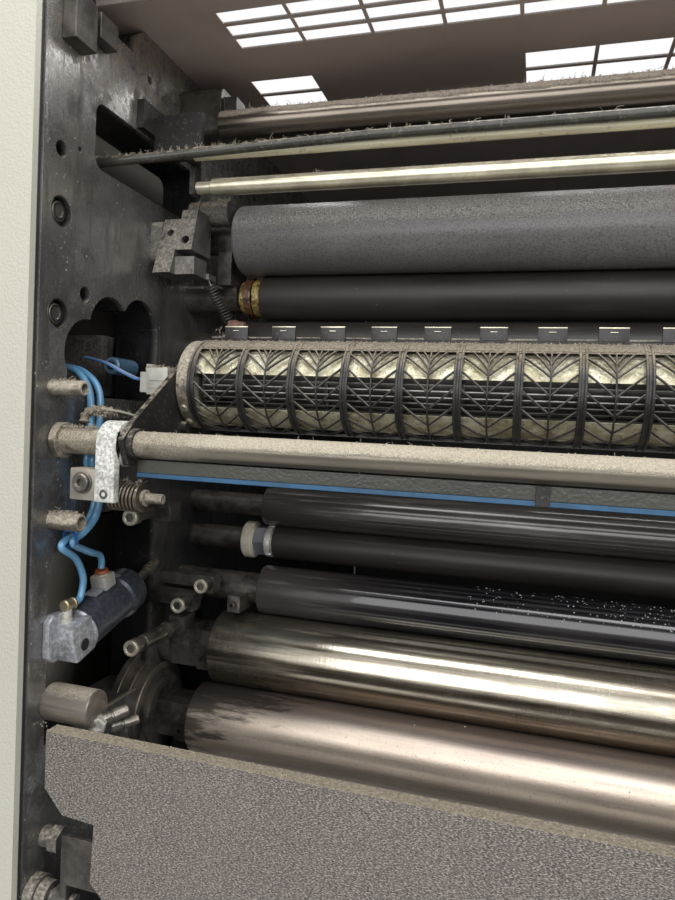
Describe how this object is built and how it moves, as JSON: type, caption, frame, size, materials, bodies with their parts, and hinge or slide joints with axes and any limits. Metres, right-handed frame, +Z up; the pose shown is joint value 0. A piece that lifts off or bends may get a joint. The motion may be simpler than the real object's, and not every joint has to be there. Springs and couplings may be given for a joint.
{
  "type": "offset press printing unit",
  "caption": "One printing unit of a sheet-fed offset press: open roller section with a guarded blower tube between two side frames, over covered cylinders.",
  "frame": {"origin": "on the floor, below the centre of the unit", "axes": "X along the rollers, +Y from the operator's side into the unit, +Z up"},
  "size_m": [1.52, 1.12, 2.037],
  "materials": {
    "frame_metal": "machined, dark with oil and dust",
    "base_paint": "painted casting",
    "housing_paint": "fine textured cream grey paint",
    "cover_dark": "dark brown matt sheet",
    "guard_paint": "coarse textured grey paint",
    "dusty_steel": "turned steel under a film of dust",
    "bright_steel": "polished steel",
    "cast_silver": "cast and filed",
    "block_iron": "blackened iron with ink and oil",
    "black_metal": "black, dull",
    "cap_metal": "cast, dusty",
    "shell_metal": "bright sheet, slightly dusty",
    "guard_plastic": "black moulding with dust",
    "plug_plastic": "off-white moulding",
    "beige_sheet": "dull beige sheet",
    "blue_seal": "light blue strip",
    "hose_blue": "soft light blue tube",
    "hose_black": "dull black rubber with dust",
    "rubber_grey": "grey rubber with pale speckles",
    "rubber_dark": "dark inked rubber",
    "roller_black": "glossy black coating with drops",
    "chrome_skin": "chrome with brown streaks of ink",
    "brown_skin": "brown purple rubber, satin",
    "cylinder_steel": "ground steel",
    "blanket_skin": "blue grey blanket"
  },
  "bodies": {
    "machine": {"frame_left": "frame_metal", "frame_right": "frame_metal", "base_casting": "base_paint", "side_housing_left": "housing_paint", "side_housing_right": "housing_paint", "top_cover": "cover_dark", "lower_front_cover": "guard_paint", "rear_covers": "housing_paint", "top_tie_bar": "dusty_steel", "upper_guard_rod": "dusty_steel", "lower_guard_rod": "bright_steel", "rod_brackets": "black_metal", "corner_blocks": "block_iron", "cross_shaft": "dusty_steel", "shaft_clamps": "cast_silver", "clamp_springs": "dusty_steel", "blower_arms": "black_metal", "blower_end_caps": "cap_metal", "blower_shell": "shell_metal", "blower_guard": "guard_plastic", "blower_plugs": "plug_plastic", "plug_leads": "plug_plastic", "deflector": "beige_sheet", "blue_seal_strip": "blue_seal", "strip_clips": "black_metal", "upper_brackets": "cap_metal", "upper_bearings": "block_iron", "roller_blocks_left": "block_iron", "roller_blocks_right": "block_iron", "adjusting_screws": "dusty_steel", "frame_screws": "dusty_steel", "frame_studs": "dusty_steel", "stub_tubes": "dusty_steel", "air_cylinders": "cast_silver", "air_hoses": "hose_blue", "ink_hose": "hose_black", "hinge_pins": "dusty_steel"},
    "blower_rotor": {"blower_rotor": "black_metal"},
    "front_guard": {"front_guard": "guard_paint", "guard_brackets": "block_iron"},
    "form_roller": {"form_roller": "rubber_grey"},
    "rider_roller": {"rider_roller": "rubber_dark"},
    "rear_roller": {"rear_roller": "rubber_dark"},
    "pair_upper_roller": {"pair_upper_roller": "rubber_dark"},
    "pair_lower_roller": {"pair_lower_roller": "rubber_dark"},
    "glossy_roller": {"glossy_roller": "roller_black"},
    "chrome_drum": {"chrome_drum": "chrome_skin"},
    "brown_roller": {"brown_roller": "brown_skin"},
    "plate_cylinder": {"plate_cylinder": "cylinder_steel"},
    "blanket_cylinder": {"blanket_cylinder": "blanket_skin"},
    "impression_cylinder": {"impression_cylinder": "cylinder_steel"}
  },
  "joints": [
    {"name": "form_roller_spin", "type": "hinge", "parent": "machine", "child": "form_roller", "pos_m": [0, -0.316, 1.82], "axis": [1, 0, 0], "continuous": true},
    {"name": "rider_roller_spin", "type": "hinge", "parent": "machine", "child": "rider_roller", "pos_m": [0, -0.29483, 1.76056], "axis": [1, 0, 0], "continuous": true},
    {"name": "rear_roller_spin", "type": "hinge", "parent": "machine", "child": "rear_roller", "pos_m": [0, -0.28813, 1.70435], "axis": [1, 0, 0], "continuous": true},
    {"name": "pair_upper_roller_spin", "type": "hinge", "parent": "machine", "child": "pair_upper_roller", "pos_m": [0, -0.267, 1.52], "axis": [1, 0, 0], "continuous": true},
    {"name": "pair_lower_roller_spin", "type": "hinge", "parent": "machine", "child": "pair_lower_roller", "pos_m": [0, -0.26212, 1.47718], "axis": [1, 0, 0], "continuous": true},
    {"name": "chrome_drum_spin", "type": "hinge", "parent": "machine", "child": "chrome_drum", "pos_m": [0, -0.314, 1.361], "axis": [1, 0, 0], "continuous": true},
    {"name": "glossy_roller_spin", "type": "hinge", "parent": "machine", "child": "glossy_roller", "pos_m": [0, -0.29391, 1.4267], "axis": [1, 0, 0], "continuous": true},
    {"name": "brown_roller_spin", "type": "hinge", "parent": "machine", "child": "brown_roller", "pos_m": [0, -0.34465, 1.28949], "axis": [1, 0, 0], "continuous": true},
    {"name": "plate_cylinder_spin", "type": "hinge", "parent": "machine", "child": "plate_cylinder", "pos_m": [0, -0.27183, 1.13333], "axis": [1, 0, 0], "continuous": true},
    {"name": "blanket_cylinder_spin", "type": "hinge", "parent": "machine", "child": "blanket_cylinder", "pos_m": [0, -0.23421, 0.86567], "axis": [1, 0, 0], "continuous": true},
    {"name": "impression_cylinder_spin", "type": "hinge", "parent": "machine", "child": "impression_cylinder", "pos_m": [0, -0.07911, 0.49122], "axis": [1, 0, 0], "continuous": true},
    {"name": "blower_rotor_spin", "type": "hinge", "parent": "machine", "child": "blower_rotor", "pos_m": [0, -0.414, 1.6535], "axis": [1, 0, 0], "continuous": true},
    {"name": "guard_hinge", "type": "hinge", "parent": "machine", "child": "front_guard", "pos_m": [0, -0.536, 1.202], "axis": [1, 0, 0], "range_deg": [0, 90]}
  ],
  "couplings": [
    {"joint": "blanket_cylinder_spin", "follows": "plate_cylinder_spin", "ratio": -1},
    {"joint": "impression_cylinder_spin", "follows": "plate_cylinder_spin", "ratio": 0.5},
    {"joint": "brown_roller_spin", "follows": "plate_cylinder_spin", "ratio": -3.6486},
    {"joint": "chrome_drum_spin", "follows": "plate_cylinder_spin", "ratio": 3.3333},
    {"joint": "glossy_roller_spin", "follows": "plate_cylinder_spin", "ratio": -4.8387},
    {"joint": "rider_roller_spin", "follows": "form_roller_spin", "ratio": -1.4822},
    {"joint": "rear_roller_spin", "follows": "form_roller_spin", "ratio": 1.2097},
    {"joint": "pair_lower_roller_spin", "follows": "pair_upper_roller_spin", "ratio": -1.1616}
  ]
}
